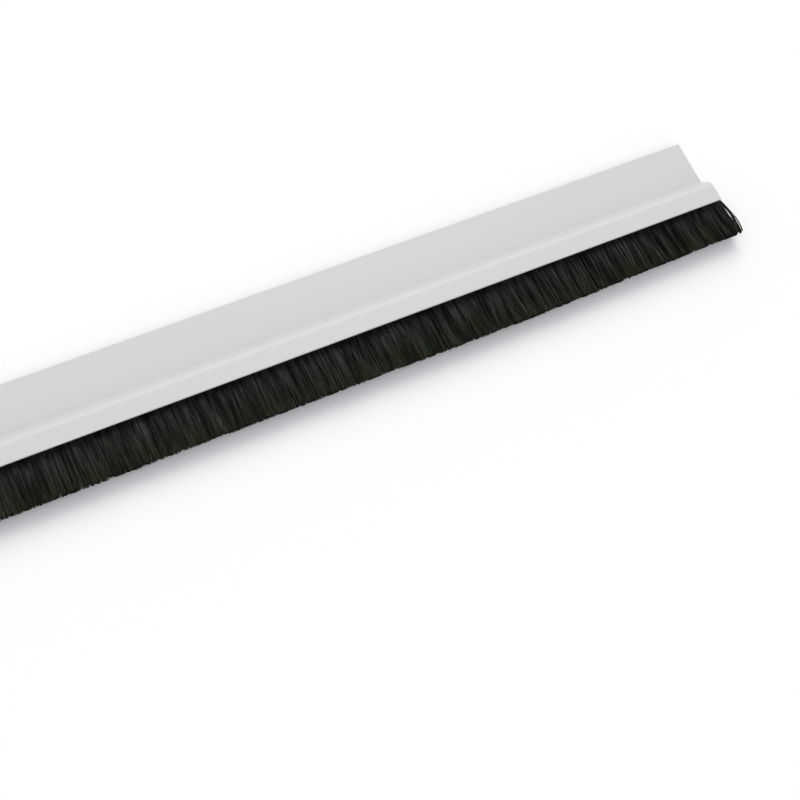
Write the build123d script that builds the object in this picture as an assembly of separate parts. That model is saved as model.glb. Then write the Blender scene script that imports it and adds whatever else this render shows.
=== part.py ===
from build123d import *
import math
import os
from random import Random

# Door bottom brush: a stick-on plastic carrier with a nylon brush along its lower edge.
# X runs along the strip, Y up the door and Z out of its face. Sizes are millimetres.
# The origin is the middle of the back, on the liner that covers the adhesive.

# Strip
strip_length = 1000.0

# Filaments, folded in two round the wire
wire_diameter = 1.0
brush_thickness = 2.0  # both legs of the fold, where they leave the channel
tip_thickness = 3.0  # the curtain has spread by then
free_length = 12.8  # below the carrier

# Tufts that the filaments gather into, and how unevenly they are trimmed and combed
tuft_pitch = 2.2
root_gap = 0.2
tip_gap = 0.7
side_share = 0.5  # a tuft's side at its root, against its middle
trim_spread = 0.25
comb_spread = 0.35
end_splay = 1.6  # lean of the last tuft, which has no neighbour to hold it
splay_reach = 7.0

# Folded steel channel
sheet = 0.4
grip_length = 1.75  # leg of the channel below the wire
press_gap = 0.05  # between filaments, wire and steel

# Carrier, one extrusion of even wall
back_wall = 1.1
front_wall = 1.1
roof_wall = 0.9
lip_thickness = 0.6  # where it meets the filaments
lip_edge = 0.5  # flat along the lower edge, before the underside slopes up
lip_rise = 0.9  # from there to the filaments
slide_clearance = 0.1  # channel in its slot
mouth_clearance = 0.1  # filaments between the lips
shoulder_run = 2.9  # height of the slope from flange to holder
flange_height = 15.3
flange_thickness = 1.3
lip_radius = 0.25
shoulder_radius = 2.8
toe_radius = 0.6
flange_radius = 0.4
slot_radius = 0.6
edge_radius = 0.2

# Foam tape and its liner
tape_width = 19.0
tape_thickness = 1.0
liner_thickness = 0.1

# Channel in section: a round back about the wire, and legs that close in on the filaments
fold_radius = wire_diameter / 2 + brush_thickness / 2
channel_inner_radius = fold_radius + press_gap
channel_outer_radius = channel_inner_radius + sheet
channel_mouth = brush_thickness / 2 + press_gap
channel_height = channel_outer_radius + wire_diameter / 2 + grip_length

# Slot in section
slot_width = 2 * (channel_outer_radius + slide_clearance)
slot_height = channel_height + 2 * slide_clearance
mouth_width = brush_thickness + 2 * mouth_clearance
holder_depth = back_wall + slot_width + front_wall
holder_height = lip_rise + lip_thickness + slot_height + roof_wall
profile_height = holder_height + shoulder_run + flange_height

# Levels up the door
bottom = -profile_height / 2
top = profile_height / 2
mouth_level = bottom + lip_rise
slot_floor = mouth_level + lip_thickness
slot_roof = slot_floor + slot_height
shoulder_top = bottom + holder_height
flange_foot = shoulder_top + shoulder_run
channel_floor = slot_floor + slide_clearance
wire_level = channel_floor + grip_length + wire_diameter / 2

# Levels out of the door
back = liner_thickness + tape_thickness
flange_front = back + flange_thickness
front = back + holder_depth
slot_back = back + back_wall
slot_front = slot_back + slot_width
slot_middle = (slot_back + slot_front) / 2

# Tufts start between the lips, just inside the solid part of the brush
root_level = mouth_level + lip_thickness / 2
root_overlap = lip_thickness / 4
root_inset = 0.02


def carrier_section():
    """Flange, sloping shoulder and C-shaped holder, with the radius of each corner."""
    mouth_back = slot_middle - mouth_width / 2
    mouth_front = slot_middle + mouth_width / 2
    corners = [
        (top, back, edge_radius),
        (top, flange_front, flange_radius),
        (flange_foot, flange_front, toe_radius),
        (shoulder_top, front, shoulder_radius),
        (bottom, front, lip_radius),
        (bottom, front - lip_edge, edge_radius),
        (mouth_level, mouth_front, edge_radius),
        (slot_floor, mouth_front, edge_radius),
        (slot_floor, slot_front, edge_radius),
        (slot_roof, slot_front, slot_radius),
        (slot_roof, slot_back, slot_radius),
        (slot_floor, slot_back, edge_radius),
        (slot_floor, mouth_back, edge_radius),
        (mouth_level, mouth_back, edge_radius),
        (bottom, back + lip_edge, edge_radius),
        (bottom, back, edge_radius),
    ]
    outline = FilletPolyline(
        [(y, z) for y, z, _ in corners],
        radius=[r for _, _, r in corners],
        close=True,
    )
    return Plane.YZ * make_face(outline)


def keystone(radius, half_mouth):
    """Round-backed outline about the wire that narrows to the channel's mouth."""
    round_back = CenterArc((wire_level, slot_middle), radius, 0, 360)
    mouth = Line(
        (channel_floor, slot_middle - half_mouth),
        (channel_floor, slot_middle + half_mouth),
    )
    return Plane.YZ * make_hull([round_back, mouth])


def wire_section(radius):
    return Plane.YZ * Pos(wire_level, slot_middle) * Circle(radius)


def along_strip(section):
    """Extrude a section over the whole strip, half to each side of the middle."""
    return extrude(section, strip_length / 2, both=True, dir=(1, 0, 0))


def strip(y, z, height, thickness):
    """Flat strip over the whole length, centred at y and standing on z."""
    return Pos(0, y, z + thickness / 2) * Box(strip_length, height, thickness)


def tuft_outline(x, y, width, thickness, ridge_slope):
    """Corners of a tuft at one level: six sides, ridged along its front and back."""
    half = width / 2
    ridge = thickness / 2
    side = ridge - ridge_slope * half
    offsets = [(-half, -side), (0, -ridge), (half, -side), (half, side), (0, ridge), (-half, side)]
    return [(x + dx, y, slot_middle + dz) for dx, dz in offsets]


def flat_sided(root, tip):
    """Solid between two outlines of as many corners, with a flat face for each side."""
    sides = [[root[i - 1], root[i], tip[i], tip[i - 1]] for i in range(len(root))]
    faces = [Face(Wire.make_polygon(corners)) for corners in [root, tip, *sides]]
    return Solid(Shell(faces))


def tufts():
    """Row of tufts that spread towards their tips, combed and trimmed a little unevenly."""
    random = Random(11)
    count = round(strip_length / tuft_pitch)
    pitch = strip_length / count
    root_width = pitch - root_gap
    root_thickness = brush_thickness - 2 * root_inset
    ridge_slope = (1 - side_share) * root_thickness / root_width
    row = []
    for i in range(count):
        x = (i + 0.5) * pitch - strip_length / 2
        from_end = strip_length / 2 - abs(x)
        lean = math.copysign(end_splay * math.exp(-from_end / splay_reach), x)
        tip_x = x + lean + random.uniform(-comb_spread, comb_spread)
        tip_level = bottom - free_length - random.uniform(-trim_spread, trim_spread)
        root = tuft_outline(x, root_level + root_overlap, root_width, root_thickness, ridge_slope)
        tip = tuft_outline(tip_x, tip_level, pitch - tip_gap, tip_thickness, ridge_slope)
        row.append(flat_sided(root, tip))
    return row


def bristles():
    """Filaments folded over the wire, the straight root between the lips, and the tufts."""
    folded = keystone(fold_radius, brush_thickness / 2)
    folded -= wire_section(wire_diameter / 2 + press_gap)
    root_height = channel_floor - root_level
    root_middle = root_level + root_height / 2
    root = Plane.YZ * Pos(root_middle, slot_middle) * Rectangle(root_height, brush_thickness)
    core = along_strip(folded) + along_strip(root)
    return core + tufts()


def brush_channel():
    shell = keystone(channel_outer_radius, channel_mouth + sheet)
    return along_strip(shell - keystone(channel_inner_radius, channel_mouth))


pieces = {
    "carrier_profile": along_strip(carrier_section()),
    "brush_channel": brush_channel(),
    "core_wire": along_strip(wire_section(wire_diameter / 2)),
    "bristles": bristles(),
    "adhesive_tape": strip(0, liner_thickness, tape_width, tape_thickness),
    "release_liner": strip(0, 0, tape_width, liner_thickness),
}

os.makedirs("parts", exist_ok=True)
for name, piece in pieces.items():
    export_step(piece, f"parts/{name}.step")
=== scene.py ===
from math import cos, pi, radians, sin

import bpy
from mathutils import Euler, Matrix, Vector


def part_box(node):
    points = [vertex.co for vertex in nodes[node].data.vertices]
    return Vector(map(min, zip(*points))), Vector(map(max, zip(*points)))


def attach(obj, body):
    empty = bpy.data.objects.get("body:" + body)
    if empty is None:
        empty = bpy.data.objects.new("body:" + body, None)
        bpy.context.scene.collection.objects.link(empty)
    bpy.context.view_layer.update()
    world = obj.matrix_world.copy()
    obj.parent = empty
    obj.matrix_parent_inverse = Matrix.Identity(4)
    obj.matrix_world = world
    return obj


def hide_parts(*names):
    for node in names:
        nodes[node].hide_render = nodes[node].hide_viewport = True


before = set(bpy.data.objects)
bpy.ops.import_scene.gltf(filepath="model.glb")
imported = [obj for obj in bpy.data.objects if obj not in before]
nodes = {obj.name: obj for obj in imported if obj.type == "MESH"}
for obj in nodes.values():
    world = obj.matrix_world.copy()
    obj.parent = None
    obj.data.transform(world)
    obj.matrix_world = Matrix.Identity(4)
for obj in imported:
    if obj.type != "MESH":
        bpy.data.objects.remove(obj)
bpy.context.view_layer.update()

# Carrier profile
# One length of rigid PVC, extruded hot through a die and cut square with a fine saw.
# Its pale grey-white skin is matte, with faint lengthwise lines from the die.

carrier_low, carrier_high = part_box("carrier_profile")
MM = 0.001
PVC_WHITE = "#D2D2D3"
PVC_SHADE = "#CFCFD0"
PVC_SAWN = "#DEDEDD"
PVC_ROUGHNESS = (0.32, 0.44)
SAWN_ROUGHNESS = 0.8
COOLING_RIPPLE = 28 * MM
COOLING_RIPPLE_DEPTH = 0.05 * MM
DIE_LINE = 0.6 * MM  # coarser than real ones, so that they show
DIE_LINE_DEPTH = 0.01 * MM
PVC_GRAIN = 0.12 * MM
PVC_GRAIN_DEPTH = 0.01 * MM
SAW_MARK = 0.3 * MM
SAW_MARK_DEPTH = 0.02 * MM
WAVE_AT_ONE = 0.3  # metres: about one wave of a wave texture at a scale of one
CUT_END_FACING = 0.9  # a face whose normal lies this far along the strip is on a cut end


def linear(hex_colour):
    """An sRGB hex colour as linear red, green, blue and alpha."""
    parts = [int(hex_colour[i:i + 2], 16) / 255 for i in (1, 3, 5)]
    return [p / 12.92 if p <= 0.04045 else ((p + 0.055) / 1.055) ** 2.4 for p in parts] + [1.0]


def first_output(node):
    """The first output that the node's settings leave in use."""
    return next(s for s in node.outputs if s.enabled)


def add(tree, kind, inputs=None, **settings):
    """Add a node with its settings. An input takes a value, a socket, or a node's first output."""
    node = tree.nodes.new(kind)
    for name, value in settings.items():
        setattr(node, name, value)
    for key, value in (inputs or {}).items():
        named = [s for s in node.inputs if s.enabled and s.name == key]
        socket = node.inputs[key] if isinstance(key, int) else named[0]
        if isinstance(value, bpy.types.Node):
            value = first_output(value)
        if isinstance(value, bpy.types.NodeSocket):
            tree.links.new(value, socket)
        else:
            socket.default_value = value
    return node


def surface(name, **sockets):
    """New material with these values on its shader, returned with its tree and shader."""
    material = bpy.data.materials.new(name)
    material.use_nodes = True
    tree = material.node_tree
    shader = tree.nodes["Principled BSDF"]
    for socket, value in sockets.items():
        shader.inputs[socket.replace("_", " ")].default_value = value
    return material, tree, shader


def connect(tree, shader, **sockets):
    """Link nodes to the shader's sockets."""
    for socket, node in sockets.items():
        tree.links.new(first_output(node), shader.inputs[socket.replace("_", " ")])


def dress(piece, material):
    """Give every material slot of a piece one material."""
    for slot in piece.material_slots:
        slot.material = material


def end_mask(tree, place):
    """One on the two cut ends of the strip, and zero elsewhere."""
    facing = add(tree, "ShaderNodeSeparateXYZ", {0: place.outputs["Normal"]})
    along = add(tree, "ShaderNodeMath", {0: facing}, operation="ABSOLUTE")
    return add(tree, "ShaderNodeMath", {0: along, 1: CUT_END_FACING}, operation="GREATER_THAN")


def extruded_pvc():
    """Rigid PVC, extruded: matte and milky, with faint die lines, and paler where it is sawn."""
    material, tree, shader = surface("extruded_pvc", IOR=1.53)
    place = add(tree, "ShaderNodeTexCoord")
    sawn = end_mask(tree, place)
    # Slow ripples from the cooling bath, longer along the strip than across it
    drawn_out = add(tree, "ShaderNodeMapping", {
        "Vector": place.outputs["Object"], "Scale": (0.25, 1, 1)})
    ripple = add(tree, "ShaderNodeTexNoise", {
        "Vector": drawn_out, "Scale": 1 / COOLING_RIPPLE, "Detail": 2.0})
    skin = add(tree, "ShaderNodeMix", {
        "Factor": ripple, "A": linear(PVC_SHADE), "B": linear(PVC_WHITE)}, data_type="RGBA")
    colour = add(tree, "ShaderNodeMix", {
        "Factor": sawn, "A": skin, "B": linear(PVC_SAWN)}, data_type="RGBA")
    # Lines that the die leaves along the whole strip, and a fine grain
    along = add(tree, "ShaderNodeMapping", {
        "Vector": place.outputs["Object"], "Scale": (0.004, 1, 1)})
    lines = add(tree, "ShaderNodeTexNoise", {"Vector": along, "Scale": 1 / DIE_LINE, "Detail": 3.0})
    grain = add(tree, "ShaderNodeTexNoise", {
        "Vector": place.outputs["Object"], "Scale": 1 / PVC_GRAIN, "Detail": 2.0})
    gloss = add(tree, "ShaderNodeMapRange", {
        "Value": lines, "To Min": PVC_ROUGHNESS[0], "To Max": PVC_ROUGHNESS[1]})
    dull = add(tree, "ShaderNodeMix", {"Factor": sawn, "A": gloss, "B": SAWN_ROUGHNESS})
    # Marks of the saw's teeth run across the cut ends, from front to back
    marks = add(tree, "ShaderNodeTexWave", {
        "Vector": place.outputs["Object"], "Scale": WAVE_AT_ONE / SAW_MARK, "Distortion": 2.0,
        "Detail Scale": 2.0}, bands_direction="Y")
    rippled = add(tree, "ShaderNodeBump", {
        "Height": ripple, "Strength": 0.2, "Distance": COOLING_RIPPLE_DEPTH})
    lined = add(tree, "ShaderNodeBump", {
        "Height": lines, "Strength": 0.5, "Distance": DIE_LINE_DEPTH, "Normal": rippled})
    grained = add(tree, "ShaderNodeBump", {
        "Height": grain, "Strength": 0.2, "Distance": PVC_GRAIN_DEPTH, "Normal": lined})
    relief = add(tree, "ShaderNodeBump", {
        "Height": marks, "Strength": sawn, "Distance": SAW_MARK_DEPTH, "Normal": grained})
    connect(tree, shader, Base_Color=colour, Roughness=dull, Normal=relief)
    return material


dress(nodes["carrier_profile"], extruded_pvc())


# Core wire and brush channel
# A strip of galvanised steel is folded round the filaments and a drawn wire, and pressed shut.
# The filled channel slides into the slot of the carrier, so only its sheared ends show.

wire_low, wire_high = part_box("core_wire")
channel_low, channel_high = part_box("brush_channel")
ZINC = "#A9ABAD"
ZINC_DARK = "#8C8F92"
WIRE_STEEL = "#9A9C9E"
WIRE_DARK = "#85878A"
SHEARED = "#C9CBCC"
ZINC_ROUGHNESS = 0.42
WIRE_ROUGHNESS = 0.35
ROUGHNESS_SPREAD = (-0.08, 0.12)
SPANGLE = 1.5 * MM
BURR = 0.15 * MM
BURR_DEPTH = 0.02 * MM


def coated_steel(name, bright, dark, roughness):
    """Galvanised steel: a dull, mottled zinc skin, and bright bare steel where it is sheared."""
    material, tree, shader = surface(name, Metallic=1.0)
    place = add(tree, "ShaderNodeTexCoord")
    cut = end_mask(tree, place)
    # Zinc crystals, mottled by cloudy tarnish
    spangle = add(tree, "ShaderNodeTexVoronoi", {
        "Vector": place.outputs["Object"], "Scale": 1 / SPANGLE, "Randomness": 1.0})
    cloud = add(tree, "ShaderNodeTexNoise", {
        "Vector": place.outputs["Object"], "Scale": 1 / SPANGLE, "Detail": 3.0})
    mottle = add(tree, "ShaderNodeMath", {0: spangle, 1: cloud}, operation="MULTIPLY")
    skin = add(tree, "ShaderNodeMix", {
        "Factor": mottle, "A": linear(bright), "B": linear(dark)}, data_type="RGBA")
    colour = add(tree, "ShaderNodeMix", {
        "Factor": cut, "A": skin, "B": linear(SHEARED)}, data_type="RGBA")
    dull = add(tree, "ShaderNodeMapRange", {
        "Value": cloud, "To Min": roughness + ROUGHNESS_SPREAD[0],
        "To Max": roughness + ROUGHNESS_SPREAD[1]})
    # Rough torn metal on the sheared ends
    torn = add(tree, "ShaderNodeTexNoise", {
        "Vector": place.outputs["Object"], "Scale": 1 / BURR, "Detail": 2.0})
    relief = add(tree, "ShaderNodeBump", {"Height": torn, "Strength": cut, "Distance": BURR_DEPTH})
    connect(tree, shader, Base_Color=colour, Roughness=dull, Normal=relief)
    return material


dress(nodes["brush_channel"], coated_steel("galvanised_steel", ZINC, ZINC_DARK, ZINC_ROUGHNESS))
dress(nodes["core_wire"], coated_steel("drawn_wire", WIRE_STEEL, WIRE_DARK, WIRE_ROUGHNESS))


# Bristles
# Black nylon filaments, laid side by side in their thousands, folded over the wire and
# clamped by the channel. They gather in loose tufts and are trimmed to one length.

FILAMENT = 0.24 * MM  # thickness, a little over the usual 0.2 so that single ones show
FILAMENT_SIDES = 3
FILAMENT_POINTS = 5
FILAMENTS_PER_MM = 34
STRETCHES = 5  # lengths of the strip, each a mesh of its own
BRUSH_LENGTH = 13.05 * MM
ROOT_THICKNESS = 1.3 * MM
TIP_THICKNESS = 2.6 * MM
ROOT_DROP = 0.3 * MM  # from the channel's mouth to where the fold ends and single filaments start
NYLON_BLACK = "#0D0D0F"
# Colour of the painted sheen on bundles that stand in for tufts catching the light
BUNDLE_SHEEN = "#2E2E31"
PALE_FILAMENT = "#232324"
PALE_RARITY = 3.0  # power of a filament's random shade: the higher, the fewer are pale
OLIVE_TINT = "#DEFF98"
OLIVE_RANGE = (0.3, 0.8)  # shares of a filament's length between which the olive comes in
BROWN_TINT = "#FFECC8"
BROWN_RANGE = (0.5, 0.7)  # levels of the noise between which the brown comes in
DYE_PATCH = 5 * MM
NYLON_ROUGHNESS = 0.4
CUT_TIP_ROUGHNESS = 0.9

tip_level = carrier_low.y - BRUSH_LENGTH
brush_middle = (channel_low.z + channel_high.z) / 2
strip_end = carrier_high.x


def drawn_nylon():
    """Nylon, dyed in the melt and drawn: near black, a soft sheen along each filament.

    The black leans to olive towards the tips and to brown in places, some bundles are paler with
    painted sheen, and the cut tips are dull.
    """
    material, tree, shader = surface("drawn_nylon", IOR=1.53, Specular_IOR_Level=0.26)
    shade = add(tree, "ShaderNodeAttribute", attribute_name="shade")
    bundle = add(tree, "ShaderNodeAttribute", attribute_name="bundle")
    along = add(tree, "ShaderNodeAttribute", attribute_name="along")
    cut = add(tree, "ShaderNodeAttribute", attribute_name="cut")
    # Painted sheen: some bundles are paler, as if they caught the light, and a few filaments are
    # paler at random
    with_bundle_sheen = add(tree, "ShaderNodeMix", {
        "Factor": bundle.outputs["Fac"], "A": linear(NYLON_BLACK), "B": linear(BUNDLE_SHEEN)},
        data_type="RGBA")
    paler = add(tree, "ShaderNodeMath", {
        0: shade.outputs["Fac"], 1: PALE_RARITY}, operation="POWER")
    black = add(tree, "ShaderNodeMix", {
        "Factor": paler, "A": with_bundle_sheen, "B": linear(PALE_FILAMENT)}, data_type="RGBA")
    # Olive comes in towards the tips
    outward = add(tree, "ShaderNodeMapRange", {
        "Value": along.outputs["Fac"], "From Min": OLIVE_RANGE[0], "From Max": OLIVE_RANGE[1]},
        interpolation_type="SMOOTHSTEP")
    olive = add(tree, "ShaderNodeMix", {
        "Factor": outward, "A": (1, 1, 1, 1), "B": linear(OLIVE_TINT)}, data_type="RGBA")
    # Brown comes in patches, longer down the filaments than across them
    place = add(tree, "ShaderNodeTexCoord")
    drawn_out = add(tree, "ShaderNodeMapping", {
        "Vector": place.outputs["Object"], "Scale": (1, 0.3, 0.5)})
    patch = add(tree, "ShaderNodeTexNoise", {
        "Vector": drawn_out, "Scale": 1 / DYE_PATCH, "Detail": 2.0})
    browner = add(tree, "ShaderNodeMapRange", {
        "Value": patch, "From Min": BROWN_RANGE[0], "From Max": BROWN_RANGE[1]})
    tint = add(tree, "ShaderNodeMix", {
        "Factor": browner, "A": olive, "B": linear(BROWN_TINT)}, data_type="RGBA")
    colour = add(tree, "ShaderNodeMix", {
        "Factor": 1.0, "A": black, "B": tint}, data_type="RGBA", blend_type="MULTIPLY")
    dull = add(tree, "ShaderNodeMapRange", {
        "Value": cut.outputs["Fac"], "To Min": NYLON_ROUGHNESS, "To Max": CUT_TIP_ROUGHNESS})
    connect(tree, shader, Base_Color=colour, Roughness=dull)
    return material


FILAMENT_INPUTS = {
    "Count": ("NodeSocketInt", 5000),
    "Points": ("NodeSocketInt", 4),
    "Start": ("NodeSocketFloat", 0.0),
    "End": ("NodeSocketFloat", 1.0),
    "Root Level": ("NodeSocketFloat", 0.0),
    "Tip Level": ("NodeSocketFloat", -0.01),
    "Middle": ("NodeSocketFloat", 0.0),
    "Root Thickness": ("NodeSocketFloat", 0.002),
    "Fan": ("NodeSocketFloat", 1.0),
    "Radius": ("NodeSocketFloat", 0.0001),
    "Strip End": ("NodeSocketFloat", 0.5),
    "Splay": ("NodeSocketFloat", 0.0),
    "Belly": ("NodeSocketFloat", 0.0),
    "Seed": ("NodeSocketInt", 1),
    "Material": ("NodeSocketMaterial", None),
}

# Size of the tufts, and how far they drift along the strip, down it and out of it
TUFTS = (
    (0.9 * MM, (0.6 * MM, 0.05 * MM, 3.0 * MM)),
    (2.4 * MM, (1.2 * MM, 0.1 * MM, 3.6 * MM)),
)
TUFT_WANDER = 0.08  # how fast tufts part and join along their length, against across it
TUFT_ROOT = 0.2  # share of the drift that a tuft has where it leaves the fold
TUFT_TURN = 2.9  # radians of a sine: a tuft drifts most a little past its middle
# Size of the bundles that carry the painted sheen, and the noise levels between black and palest
# sheen
SHEEN_BUNDLE = 1.4 * MM
SHEEN_BUNDLE_RANGE = (0.42, 0.58)  # levels of the noise that are black and pale
# How far a single filament strays at its tip, and how far it bows, in the same directions
STRAY = (0.6 * MM, 0.06 * MM, 0.25 * MM)
BOW = (0.15 * MM, 0.0, 0.08 * MM)
BOW_RISE = 0.85  # under one, a filament bows most in its upper half
# How far the tips splay out and the cut line rises, and over what length at each end
END_SPLAY = 0.3 * MM
END_SPLAY_REACH = 6 * MM
END_TRIM = 1.5 * MM
END_TRIM_REACH = 85 * MM
CUT_TIP_FACING = -0.8  # a face whose normal points down this far is a cut tip


def node_group(name, inputs):
    """New geometry node group with named inputs, returned with what those inputs give."""
    tree = bpy.data.node_groups.new(name, "GeometryNodeTree")
    for title, (kind, value) in inputs.items():
        socket = tree.interface.new_socket(name=title, in_out="INPUT", socket_type=kind)
        if value is not None:
            socket.default_value = value
    tree.interface.new_socket(name="Geometry", in_out="OUTPUT", socket_type="NodeSocketGeometry")
    return tree, add(tree, "NodeGroupInput").outputs


def filament_tree():
    """Node tree that lays filaments at random across the brush, gathers and fans them out."""
    tree, given = node_group("filament_row", FILAMENT_INPUTS)
    # Where each filament leaves the fold
    half = add(tree, "ShaderNodeMath", {0: given["Root Thickness"], 1: 0.5}, operation="MULTIPLY")
    back = add(tree, "ShaderNodeMath", {0: given["Middle"], 1: half}, operation="SUBTRACT")
    front = add(tree, "ShaderNodeMath", {0: given["Middle"], 1: half}, operation="ADD")
    root_x = add(tree, "FunctionNodeRandomValue", {
        "Min": given["Start"], "Max": given["End"], "Seed": given["Seed"]})
    root_z = add(tree, "FunctionNodeRandomValue", {"Min": back, "Max": front, "Seed": 2})
    root = add(tree, "ShaderNodeCombineXYZ", {"X": root_x, "Y": given["Root Level"], "Z": root_z})
    points = add(tree, "GeometryNodePoints", {"Count": given["Count"], "Position": root})
    # A straight strand stands on each of them
    drop = add(tree, "ShaderNodeMath", {
        0: given["Tip Level"], 1: given["Root Level"]}, operation="SUBTRACT")
    foot = add(tree, "ShaderNodeCombineXYZ", {"Y": drop})
    line = add(tree, "GeometryNodeCurvePrimitiveLine", {"End": foot})
    line = add(tree, "GeometryNodeResampleCurve", {"Curve": line, "Count": given["Points"]})
    strands = add(tree, "GeometryNodeInstanceOnPoints", {"Points": points, "Instance": line})
    strands = add(tree, "GeometryNodeRealizeInstances", {"Geometry": strands})
    # How far along its strand a point is, and which strand it is on
    along = add(tree, "GeometryNodeSplineParameter")
    which = add(tree, "GeometryNodeCurveOfPoint")
    place = add(tree, "GeometryNodeInputPosition")
    split = add(tree, "ShaderNodeSeparateXYZ", {0: place})
    # What the finish reads: how far along a filament it is, a shade for each filament, and a
    # painted sheen for each bundle of them
    across = add(tree, "ShaderNodeVectorMath", {
        0: place, 1: (1.0, TUFT_WANDER, 1.0)}, operation="MULTIPLY")
    shade = add(tree, "FunctionNodeRandomValue", {"ID": which, "Seed": 6})
    # Painted sheen: bundles made paler where tilted tufts would catch the light
    bundle = add(tree, "ShaderNodeTexNoise", {"Vector": across, "Scale": 1 / SHEEN_BUNDLE, "Detail": 1.0})
    bundle = add(tree, "ShaderNodeMapRange", {
        "Value": bundle, "From Min": SHEEN_BUNDLE_RANGE[0], "From Max": SHEEN_BUNDLE_RANGE[1]})
    for name, value in (("shade", shade), ("bundle", bundle), ("along", along)):
        strands = add(tree, "GeometryNodeStoreNamedAttribute", {
            "Geometry": strands, "Name": name, "Value": value}, domain="POINT")
    # Tufts: neighbours drift together as they leave the fold
    drift = None
    for size, reach in TUFTS:
        noise = add(tree, "ShaderNodeTexNoise", {
            "Vector": across, "Scale": 1 / size, "Detail": 0.0})
        even = add(tree, "ShaderNodeVectorMath", {
            0: noise.outputs["Color"], 1: (-0.5, -0.5, -0.5)}, operation="ADD")
        moved = add(tree, "ShaderNodeVectorMath", {0: even, 1: reach}, operation="MULTIPLY")
        drift = moved if drift is None else add(
            tree, "ShaderNodeVectorMath", {0: drift, 1: moved}, operation="ADD")
    turned = add(tree, "ShaderNodeMath", {0: along, 1: TUFT_TURN}, operation="MULTIPLY")
    gathered = add(tree, "ShaderNodeMath", {0: turned}, operation="SINE")
    gathered = add(tree, "ShaderNodeMapRange", {"Value": gathered, "To Min": TUFT_ROOT})
    tuft_shift = add(tree, "ShaderNodeVectorMath", {0: drift, "Scale": gathered}, operation="SCALE")
    # Strays: most filaments keep to their tuft, and a few lean out of it
    lean = add(tree, "FunctionNodeRandomValue", {
        "Min": (-1, -1, -1), "Max": (1, 1, 1), "ID": which, "Seed": 3}, data_type="FLOAT_VECTOR")
    squared = add(tree, "ShaderNodeVectorMath", {0: lean, 1: lean}, operation="MULTIPLY")
    cubed = add(tree, "ShaderNodeVectorMath", {0: squared, 1: lean}, operation="MULTIPLY")
    stray = add(tree, "ShaderNodeVectorMath", {0: cubed, 1: STRAY}, operation="MULTIPLY")
    # Fan: the curtain spreads in thickness, and at the two ends of the strip along it
    from_middle = add(tree, "ShaderNodeMath", {
        0: split.outputs["Z"], 1: given["Middle"]}, operation="SUBTRACT")
    fan_z = add(tree, "ShaderNodeMath", {0: from_middle, 1: given["Fan"]}, operation="MULTIPLY")
    from_centre = add(tree, "ShaderNodeMath", {0: split.outputs["X"]}, operation="ABSOLUTE")
    side = add(tree, "ShaderNodeMath", {0: split.outputs["X"]}, operation="SIGN")
    near_end = add(tree, "ShaderNodeMath", {
        0: given["Strip End"], 1: END_SPLAY_REACH}, operation="SUBTRACT")
    splay = add(tree, "ShaderNodeMapRange", {
        "Value": from_centre, "From Min": near_end, "From Max": given["Strip End"],
        "To Max": given["Splay"]}, interpolation_type="SMOOTHSTEP")
    fan_x = add(tree, "ShaderNodeMath", {0: splay, 1: side}, operation="MULTIPLY")
    # Trim: the cut line rises a little towards the two ends
    trim_start = add(tree, "ShaderNodeMath", {
        0: given["Strip End"], 1: END_TRIM_REACH}, operation="SUBTRACT")
    trim = add(tree, "ShaderNodeMapRange", {
        "Value": from_centre, "From Min": trim_start, "From Max": given["Strip End"],
        "To Max": END_TRIM}, interpolation_type="SMOOTHSTEP")
    fan = add(tree, "ShaderNodeCombineXYZ", {"X": fan_x, "Y": trim, "Z": fan_z})
    fan = add(tree, "ShaderNodeVectorMath", {0: stray, 1: fan}, operation="ADD")
    shift = add(tree, "ShaderNodeVectorMath", {0: fan, "Scale": along}, operation="SCALE")
    shift = add(tree, "ShaderNodeVectorMath", {0: tuft_shift, 1: shift}, operation="ADD")
    # Bow: each filament keeps a slight curve of its own
    bend = add(tree, "FunctionNodeRandomValue", {
        "Min": [-b for b in BOW], "Max": BOW, "ID": which, "Seed": 5}, data_type="FLOAT_VECTOR")
    early = add(tree, "ShaderNodeMath", {0: along, 1: BOW_RISE}, operation="POWER")
    half_turn = add(tree, "ShaderNodeMath", {0: early, 1: pi}, operation="MULTIPLY")
    arch = add(tree, "ShaderNodeMath", {0: half_turn}, operation="SINE")
    outward = add(tree, "ShaderNodeMath", {0: given["Belly"], 1: side}, operation="MULTIPLY")
    belly = add(tree, "ShaderNodeCombineXYZ", {"X": outward})
    bend = add(tree, "ShaderNodeVectorMath", {0: bend, 1: belly}, operation="ADD")
    bow = add(tree, "ShaderNodeVectorMath", {0: bend, "Scale": arch}, operation="SCALE")
    shift = add(tree, "ShaderNodeVectorMath", {0: shift, 1: bow}, operation="ADD")
    strands = add(tree, "GeometryNodeSetPosition", {"Geometry": strands, "Offset": shift})
    # Filaments as solids, with their cut tips marked for the finish
    section = add(tree, "GeometryNodeCurvePrimitiveCircle", {
        "Resolution": FILAMENT_SIDES, "Radius": given["Radius"]})
    mesh = add(tree, "GeometryNodeCurveToMesh", {
        "Curve": strands, "Profile Curve": section, "Fill Caps": True})
    facing = add(tree, "ShaderNodeSeparateXYZ", {0: add(tree, "GeometryNodeInputNormal")})
    tips = add(tree, "ShaderNodeMath", {
        0: facing.outputs["Y"], 1: CUT_TIP_FACING}, operation="LESS_THAN")
    mesh = add(tree, "GeometryNodeStoreNamedAttribute", {
        "Geometry": mesh, "Name": "cut", "Value": tips}, domain="FACE")
    mesh = add(tree, "GeometryNodeRealizeInstances", {"Geometry": mesh})
    mesh = add(tree, "GeometryNodeSetMaterial", {"Geometry": mesh, "Material": given["Material"]})
    add(tree, "NodeGroupOutput", {"Geometry": mesh})
    return tree


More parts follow.
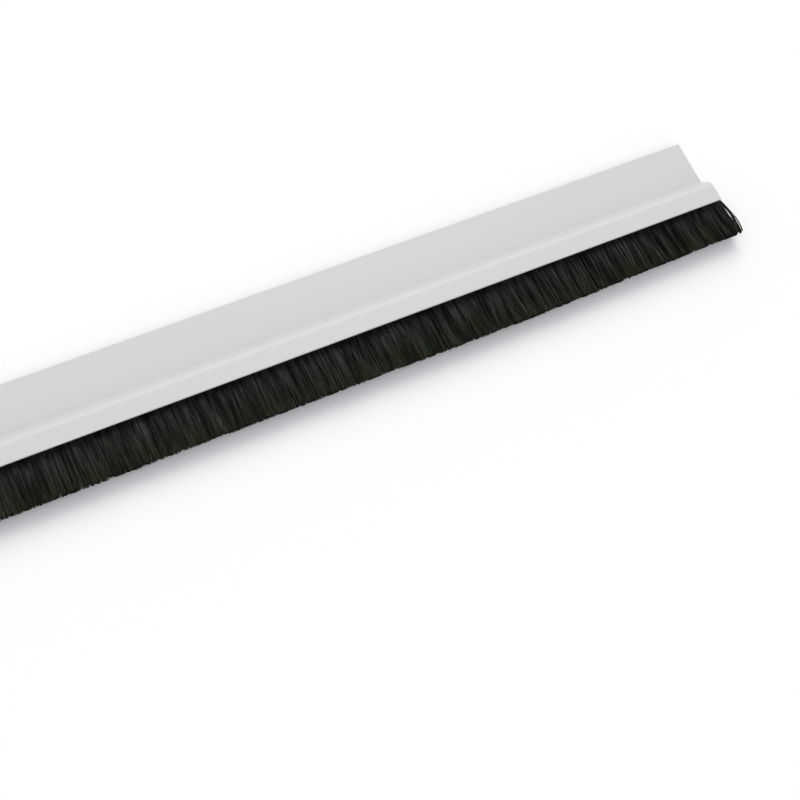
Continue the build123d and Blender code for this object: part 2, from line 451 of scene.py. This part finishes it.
def grow(name, tree, **values):
    """Run a node tree with its inputs set, and keep the result as a plain mesh."""
    source = bpy.data.objects.new(name + "_source", bpy.data.meshes.new(name + "_source"))
    bpy.context.collection.objects.link(source)
    modifier = source.modifiers.new("grow", "NODES")
    modifier.node_group = tree
    for item in tree.interface.items_tree:
        key = item.name.replace(" ", "_").lower()
        if item.in_out == "INPUT" and key in values:
            modifier[item.identifier] = values[key]
    depsgraph = bpy.context.evaluated_depsgraph_get()
    mesh = bpy.data.meshes.new_from_object(source.evaluated_get(depsgraph))
    bpy.data.objects.remove(source)
    mesh.name = name
    piece = bpy.data.objects.new(name, mesh)
    bpy.context.collection.objects.link(piece)
    return piece


nylon = drawn_nylon()
filaments = filament_tree()


def brush_row(name, count, start, end, seed, **loose):
    """One stretch of the brush, riding on the strip in place of the plain bristles."""
    values = dict(
        count=count,
        points=FILAMENT_POINTS,
        start=start,
        end=end,
        root_level=channel_low.y - ROOT_DROP,
        tip_level=tip_level,
        middle=brush_middle,
        root_thickness=ROOT_THICKNESS,
        fan=TIP_THICKNESS / ROOT_THICKNESS - 1,
        radius=FILAMENT / 2,
        strip_end=strip_end,
        splay=END_SPLAY,
        seed=seed,
        material=nylon,
    )
    row = grow(name, filaments, **(values | loose))
    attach(row, "root")
    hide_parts("bristles")


ROW_SEED = 11
stretch = (carrier_high.x - carrier_low.x) / STRETCHES
for i in range(STRETCHES):
    start = carrier_low.x + i * stretch
    count = round(FILAMENTS_PER_MM * stretch / MM)
    brush_row(f"bristles_{i + 1}", count, start, start + stretch, ROW_SEED + i)

# Filaments at the two ends have no neighbour to hold them: from the wire down, a few bulge far
# out, and more lean out a little. Each group has a count, the length of strip that it starts
# from, how far its tips splay, and how far it bows out on the way.
LOOSE_GROUPS = {
    "bulging": (12, 0.35 * MM, 2.25 * MM, 1.8 * MM),
    "leaning": (60, 0.6 * MM, 0.6 * MM, 1.05 * MM),
}
LOOSE_POINTS = 10
LOOSE_SEED = 20
LEFT_SEED = 10  # more than at the right end
for seed, (manner, (count, width, splay, belly)) in enumerate(LOOSE_GROUPS.items(), LOOSE_SEED):
    curved = dict(root_level=wire_low.y, points=LOOSE_POINTS, splay=splay, belly=belly)
    name = manner + "_filaments"
    brush_row(name + "_right", count, strip_end - width, strip_end, seed, **curved)
    brush_row(name + "_left", count, -strip_end, width - strip_end, seed + LEFT_SEED, **curved)


# Fold of the filaments
# Inside the channel each filament runs up one side of the wire and down the other.
# The cut ends show the single loops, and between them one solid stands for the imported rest.

FOLD_INPUTS = {
    "Wire Level": ("NodeSocketFloat", 0.0),
    "Wire Radius": ("NodeSocketFloat", 0.0005),
    "Root Level": ("NodeSocketFloat", -0.003),
    "Middle": ("NodeSocketFloat", 0.0),
    "Thickness": ("NodeSocketFloat", 0.001),
    "Strip End": ("NodeSocketFloat", 0.5),
    "Depth": ("NodeSocketFloat", 0.002),
    "Rows": ("NodeSocketInt", 9),
    "Layers": ("NodeSocketInt", 4),
    "Jitter": ("NodeSocketVector", (0.0, 0.0, 0.0)),
    "Radius": ("NodeSocketFloat", 0.0001),
    "Material": ("NodeSocketMaterial", None),
}
FOLD_THICKNESS = 0.86 * MM  # from the wire out
FOLD_DEPTH = 2.2 * MM  # of the single loops, in from each cut end
FOLD_LAYERS = 4
FOLD_JITTER = (0.05 * MM, 0.06, 0.0)  # along the strip, and as a share of the thickness
FOLD_POINTS = 19
LOOP_SIDES = 6
LEG_SHARE = 0.3  # of each filament's length in the fold, on each side of the wire


def fold_tree():
    """Node tree that lays filaments straight, with a block between, and bends them round the wire.

    Straight, they have X along the strip, Y from wire to steel and Z from end to end.
    """
    tree, given = node_group("folded_filaments", FOLD_INPUTS)
    # Straight single filaments in a grid at each cut end
    half_depth = add(tree, "ShaderNodeMath", {0: given["Depth"], 1: 0.5}, operation="MULTIPLY")
    right = add(tree, "ShaderNodeMath", {
        0: given["Strip End"], 1: half_depth}, operation="SUBTRACT")
    left = add(tree, "ShaderNodeMath", {0: right, 1: -1.0}, operation="MULTIPLY")
    grid = add(tree, "GeometryNodeMeshGrid", {
        "Size X": given["Depth"], "Size Y": 1.0, "Vertices X": given["Rows"],
        "Vertices Y": given["Layers"]})
    ends = add(tree, "GeometryNodeJoinGeometry")
    for middle in (right, left):
        place = add(tree, "ShaderNodeCombineXYZ", {"X": middle, "Y": 0.5})
        moved = add(tree, "GeometryNodeTransform", {"Geometry": grid, "Translation": place})
        tree.links.new(first_output(moved), ends.inputs["Geometry"])
    line = add(tree, "GeometryNodeCurvePrimitiveLine", {"End": (0.0, 0.0, 1.0)})
    line = add(tree, "GeometryNodeResampleCurve", {"Curve": line, "Count": FOLD_POINTS})
    strands = add(tree, "GeometryNodeInstanceOnPoints", {"Points": ends, "Instance": line})
    strands = add(tree, "GeometryNodeRealizeInstances", {"Geometry": strands})
    which = add(tree, "GeometryNodeCurveOfPoint")
    lowest = add(tree, "ShaderNodeVectorMath", {
        0: given["Jitter"], "Scale": -1.0}, operation="SCALE")
    jitter = add(tree, "FunctionNodeRandomValue", {
        "Min": lowest, "Max": given["Jitter"], "ID": which, "Seed": 7}, data_type="FLOAT_VECTOR")
    strands = add(tree, "GeometryNodeSetPosition", {"Geometry": strands, "Offset": jitter})
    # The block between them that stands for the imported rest
    inner_end = add(tree, "ShaderNodeMath", {
        0: given["Strip End"], 1: given["Depth"]}, operation="SUBTRACT")
    run = add(tree, "ShaderNodeMath", {0: inner_end, 1: 2.0}, operation="MULTIPLY")
    size = add(tree, "ShaderNodeCombineXYZ", {"X": run, "Y": 1.0, "Z": 1.0})
    block = add(tree, "GeometryNodeMeshCube", {
        "Size": size, "Vertices X": 2, "Vertices Y": 2, "Vertices Z": FOLD_POINTS})
    block = add(tree, "GeometryNodeTransform", {
        "Geometry": block, "Translation": (0.0, 0.5, 0.5)})
    # Bend: the middle of each filament goes half round the wire, and its legs run down
    straight = add(tree, "ShaderNodeSeparateXYZ", {0: add(tree, "GeometryNodeInputPosition")})
    turn = add(tree, "ShaderNodeMapRange", {
        "Value": straight.outputs["Z"], "From Min": LEG_SHARE, "From Max": 1 - LEG_SHARE,
        "To Max": pi})
    side = add(tree, "ShaderNodeMath", {0: turn}, operation="COSINE")
    rise = add(tree, "ShaderNodeMath", {0: turn}, operation="SINE")
    from_top = add(tree, "ShaderNodeMath", {0: straight.outputs["Z"], 1: 0.5}, operation="SUBTRACT")
    from_top = add(tree, "ShaderNodeMath", {0: from_top}, operation="ABSOLUTE")
    leg = add(tree, "ShaderNodeMapRange", {
        "Value": from_top, "From Min": 0.5 - LEG_SHARE, "From Max": 0.5})
    radius = add(tree, "ShaderNodeMath", {
        0: straight.outputs["Y"], 1: given["Thickness"], 2: given["Wire Radius"]},
        operation="MULTIPLY_ADD")
    closed = add(tree, "ShaderNodeMath", {
        0: leg, 1: given["Wire Radius"]}, operation="MULTIPLY")
    spread = add(tree, "ShaderNodeMath", {0: radius, 1: closed}, operation="SUBTRACT")
    z = add(tree, "ShaderNodeMath", {0: side, 1: spread}, operation="MULTIPLY")
    z = add(tree, "ShaderNodeMath", {0: given["Middle"], 1: z}, operation="SUBTRACT")
    top = add(tree, "ShaderNodeMath", {
        0: rise, 1: radius, 2: given["Wire Level"]}, operation="MULTIPLY_ADD")
    leg_length = add(tree, "ShaderNodeMath", {
        0: given["Wire Level"], 1: given["Root Level"]}, operation="SUBTRACT")
    drop = add(tree, "ShaderNodeMath", {0: leg, 1: leg_length}, operation="MULTIPLY")
    y = add(tree, "ShaderNodeMath", {0: top, 1: drop}, operation="SUBTRACT")
    bent = add(tree, "ShaderNodeCombineXYZ", {"X": straight.outputs["X"], "Y": y, "Z": z})
    strands = add(tree, "GeometryNodeSetPosition", {"Geometry": strands, "Position": bent})
    block = add(tree, "GeometryNodeSetPosition", {"Geometry": block, "Position": bent})
    # Filaments as solids, each with a shade for the finish
    shade = add(tree, "FunctionNodeRandomValue", {"ID": which, "Seed": 8})
    strands = add(tree, "GeometryNodeStoreNamedAttribute", {
        "Geometry": strands, "Name": "shade", "Value": shade}, domain="POINT")
    section = add(tree, "GeometryNodeCurvePrimitiveCircle", {
        "Resolution": LOOP_SIDES, "Radius": given["Radius"]})
    loops = add(tree, "GeometryNodeCurveToMesh", {
        "Curve": strands, "Profile Curve": section, "Fill Caps": True})
    mesh = add(tree, "GeometryNodeJoinGeometry")
    for part in (block, loops):
        tree.links.new(first_output(part), mesh.inputs["Geometry"])
    mesh = add(tree, "GeometryNodeRealizeInstances", {"Geometry": mesh})
    mesh = add(tree, "GeometryNodeSetMaterial", {"Geometry": mesh, "Material": given["Material"]})
    add(tree, "NodeGroupOutput", {"Geometry": mesh})
    return tree


fold = grow(
    "brush_fold", fold_tree(),
    wire_level=(wire_low.y + wire_high.y) / 2,
    wire_radius=(wire_high.y - wire_low.y) / 2 + FILAMENT / 2,
    root_level=channel_low.y - ROOT_DROP,
    middle=brush_middle,
    thickness=FOLD_THICKNESS - FILAMENT / 2,
    strip_end=strip_end - FILAMENT,
    depth=FOLD_DEPTH,
    rows=round(FOLD_DEPTH / FILAMENT),
    layers=FOLD_LAYERS,
    jitter=FOLD_JITTER,
    radius=FILAMENT / 2,
    material=nylon,
)
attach(fold, "root")
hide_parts("bristles")


# Adhesive tape and its liner
# Closed-cell foam tape with a tacky face each side, slit to width, on the flat back of the
# carrier. A siliconed paper liner covers the outer face until the strip is stuck on.

FOAM_WHITE = "#E6E6E1"
# Painted shade in the hollow middles of the foam cells
FOAM_CELL_PAINTED_SHADE = "#D0D0CA"
FOAM_CELL = 0.35 * MM
FOAM_CELL_DEPTH = 0.12 * MM
FOAM_CELL_RANGE = (0.1, 0.7)  # from the middle of a cell to its wall, in cells
LINER_YELLOW = "#E8DDBB"
LINER_FIBRE_SHADE = "#DDCFA6"
LINER_ROUGHNESS = (0.32, 0.46)
PAPER_FIBRE = 0.5 * MM
PAPER_FIBRE_RANGE = (0.35, 0.65)  # levels of the noise that are bare and fibrous
PAPER_FIBRE_DEPTH = 0.01 * MM
PAPER_COCKLE = 14 * MM
PAPER_COCKLE_DEPTH = 0.25 * MM


def closed_cell_foam():
    """Polyethylene foam, slit with a blade: chalky white, with open cells on its cut edges."""
    material, tree, shader = surface("closed_cell_foam", Roughness=0.85, IOR=1.5)
    place = add(tree, "ShaderNodeTexCoord")
    # Cells are hollow, with painted shade darkening their middles
    cells = add(tree, "ShaderNodeTexVoronoi", {
        "Vector": place.outputs["Object"], "Scale": 1 / FOAM_CELL, "Randomness": 1.0})
    wall = add(tree, "ShaderNodeMapRange", {
        "Value": cells, "From Min": FOAM_CELL_RANGE[0], "From Max": FOAM_CELL_RANGE[1]})
    colour = add(tree, "ShaderNodeMix", {
        "Factor": wall, "A": linear(FOAM_CELL_PAINTED_SHADE), "B": linear(FOAM_WHITE)}, data_type="RGBA")
    relief = add(tree, "ShaderNodeBump", {
        "Height": wall, "Strength": 0.8, "Distance": FOAM_CELL_DEPTH})
    connect(tree, shader, Base_Color=colour, Normal=relief)
    return material


def release_paper():
    """Glassine paper, coated with silicone: pale yellow, slick, lightly cockled and fibrous."""
    material, tree, shader = surface("release_paper", IOR=1.45)
    place = add(tree, "ShaderNodeTexCoord")
    # Fibres lie mostly along the roll, and so along the strip
    lengthwise = add(tree, "ShaderNodeMapping", {
        "Vector": place.outputs["Object"], "Scale": (0.3, 1, 1)})
    fibre = add(tree, "ShaderNodeTexNoise", {
        "Vector": lengthwise, "Scale": 1 / PAPER_FIBRE, "Detail": 4.0})
    thick = add(tree, "ShaderNodeMapRange", {
        "Value": fibre, "From Min": PAPER_FIBRE_RANGE[0], "From Max": PAPER_FIBRE_RANGE[1]})
    colour = add(tree, "ShaderNodeMix", {
        "Factor": thick, "A": linear(LINER_YELLOW), "B": linear(LINER_FIBRE_SHADE)},
        data_type="RGBA")
    slick = add(tree, "ShaderNodeMapRange", {
        "Value": fibre, "To Min": LINER_ROUGHNESS[0], "To Max": LINER_ROUGHNESS[1]})
    # Slow waves where the paper has come a little loose from the tape
    cockle = add(tree, "ShaderNodeTexNoise", {
        "Vector": place.outputs["Object"], "Scale": 1 / PAPER_COCKLE, "Detail": 1.0})
    waved = add(tree, "ShaderNodeBump", {
        "Height": cockle, "Strength": 0.5, "Distance": PAPER_COCKLE_DEPTH})
    relief = add(tree, "ShaderNodeBump", {
        "Height": fibre, "Strength": 0.4, "Distance": PAPER_FIBRE_DEPTH, "Normal": waved})
    connect(tree, shader, Base_Color=colour, Roughness=slick, Normal=relief)
    return material


dress(nodes["adhesive_tape"], closed_cell_foam())
dress(nodes["release_liner"], release_paper())


# Floor, light and camera
# A plain white floor, a broad soft light from the upper side of the strip, a weaker one
# from the brush side, and a camera above the strip's right half.

FLOOR_WHITE = "#FFFFFF"
FLOOR_ROUGHNESS = 0.9
FLOOR_SIDE = 40.0  # metres
FLOOR_GAP = 0.02 * MM
SOFT_LIGHTS = {  # elevation, azimuth from +Y towards +X, strength, spread and colour
    "key": (radians(42), radians(20), 1.38, radians(50), (1.05, 1.0, 0.9)),
    "fill": (radians(35), radians(180), 0.5, radians(60), (1.0, 1.0, 1.0)),
}
SKY_STRENGTH = 0.612
SKY_COLOUR = (0.98, 1.0, 1.05, 1.0)
CAMERA_PLACE = Vector((267.59, -154.77, 374.87)) * MM
CAMERA_TURN = Euler((radians(22.573), radians(-7.459), radians(-25.217)))
CAMERA_LENS = 63.465  # millimetres
CAMERA_NEAREST = 10 * MM


def floor():
    """A flat white sheet just below the strip."""
    half = FLOOR_SIDE / 2
    corners = [(-half, -half), (half, -half), (half, half), (-half, half)]
    mesh = bpy.data.meshes.new("floor")
    mesh.from_pydata([(x, y, -FLOOR_GAP) for x, y in corners], [], [(0, 1, 2, 3)])
    material, _, _ = surface(
        "matte_paper", Base_Color=linear(FLOOR_WHITE), Roughness=FLOOR_ROUGHNESS,
        Specular_IOR_Level=0.0)
    mesh.materials.append(material)
    ground = bpy.data.objects.new("floor", mesh)
    bpy.context.collection.objects.link(ground)
    return ground


floor()

world = bpy.data.worlds.new("studio")
world.use_nodes = True
sky = world.node_tree.nodes["Background"]
sky.inputs["Color"].default_value = SKY_COLOUR
sky.inputs["Strength"].default_value = SKY_STRENGTH
bpy.context.scene.world = world

for name, (elevation, azimuth, strength, spread, colour) in SOFT_LIGHTS.items():
    lamp_data = bpy.data.lights.new(name, "SUN")
    lamp_data.energy = strength
    lamp_data.angle = spread
    lamp_data.color = colour
    lamp = bpy.data.objects.new(name, lamp_data)
    shines_from = Vector((
        sin(azimuth) * cos(elevation),
        cos(azimuth) * cos(elevation),
        sin(elevation),
    ))
    lamp.rotation_euler = shines_from.to_track_quat("Z", "Y").to_euler()
    bpy.context.collection.objects.link(lamp)

camera_data = bpy.data.cameras.new("camera")
camera_data.lens = CAMERA_LENS
camera_data.clip_start = CAMERA_NEAREST
camera = bpy.data.objects.new("camera", camera_data)
camera.location = CAMERA_PLACE
camera.rotation_euler = CAMERA_TURN
bpy.context.collection.objects.link(camera)
bpy.context.scene.camera = camera
bpy.context.scene.view_settings.view_transform = "Standard"
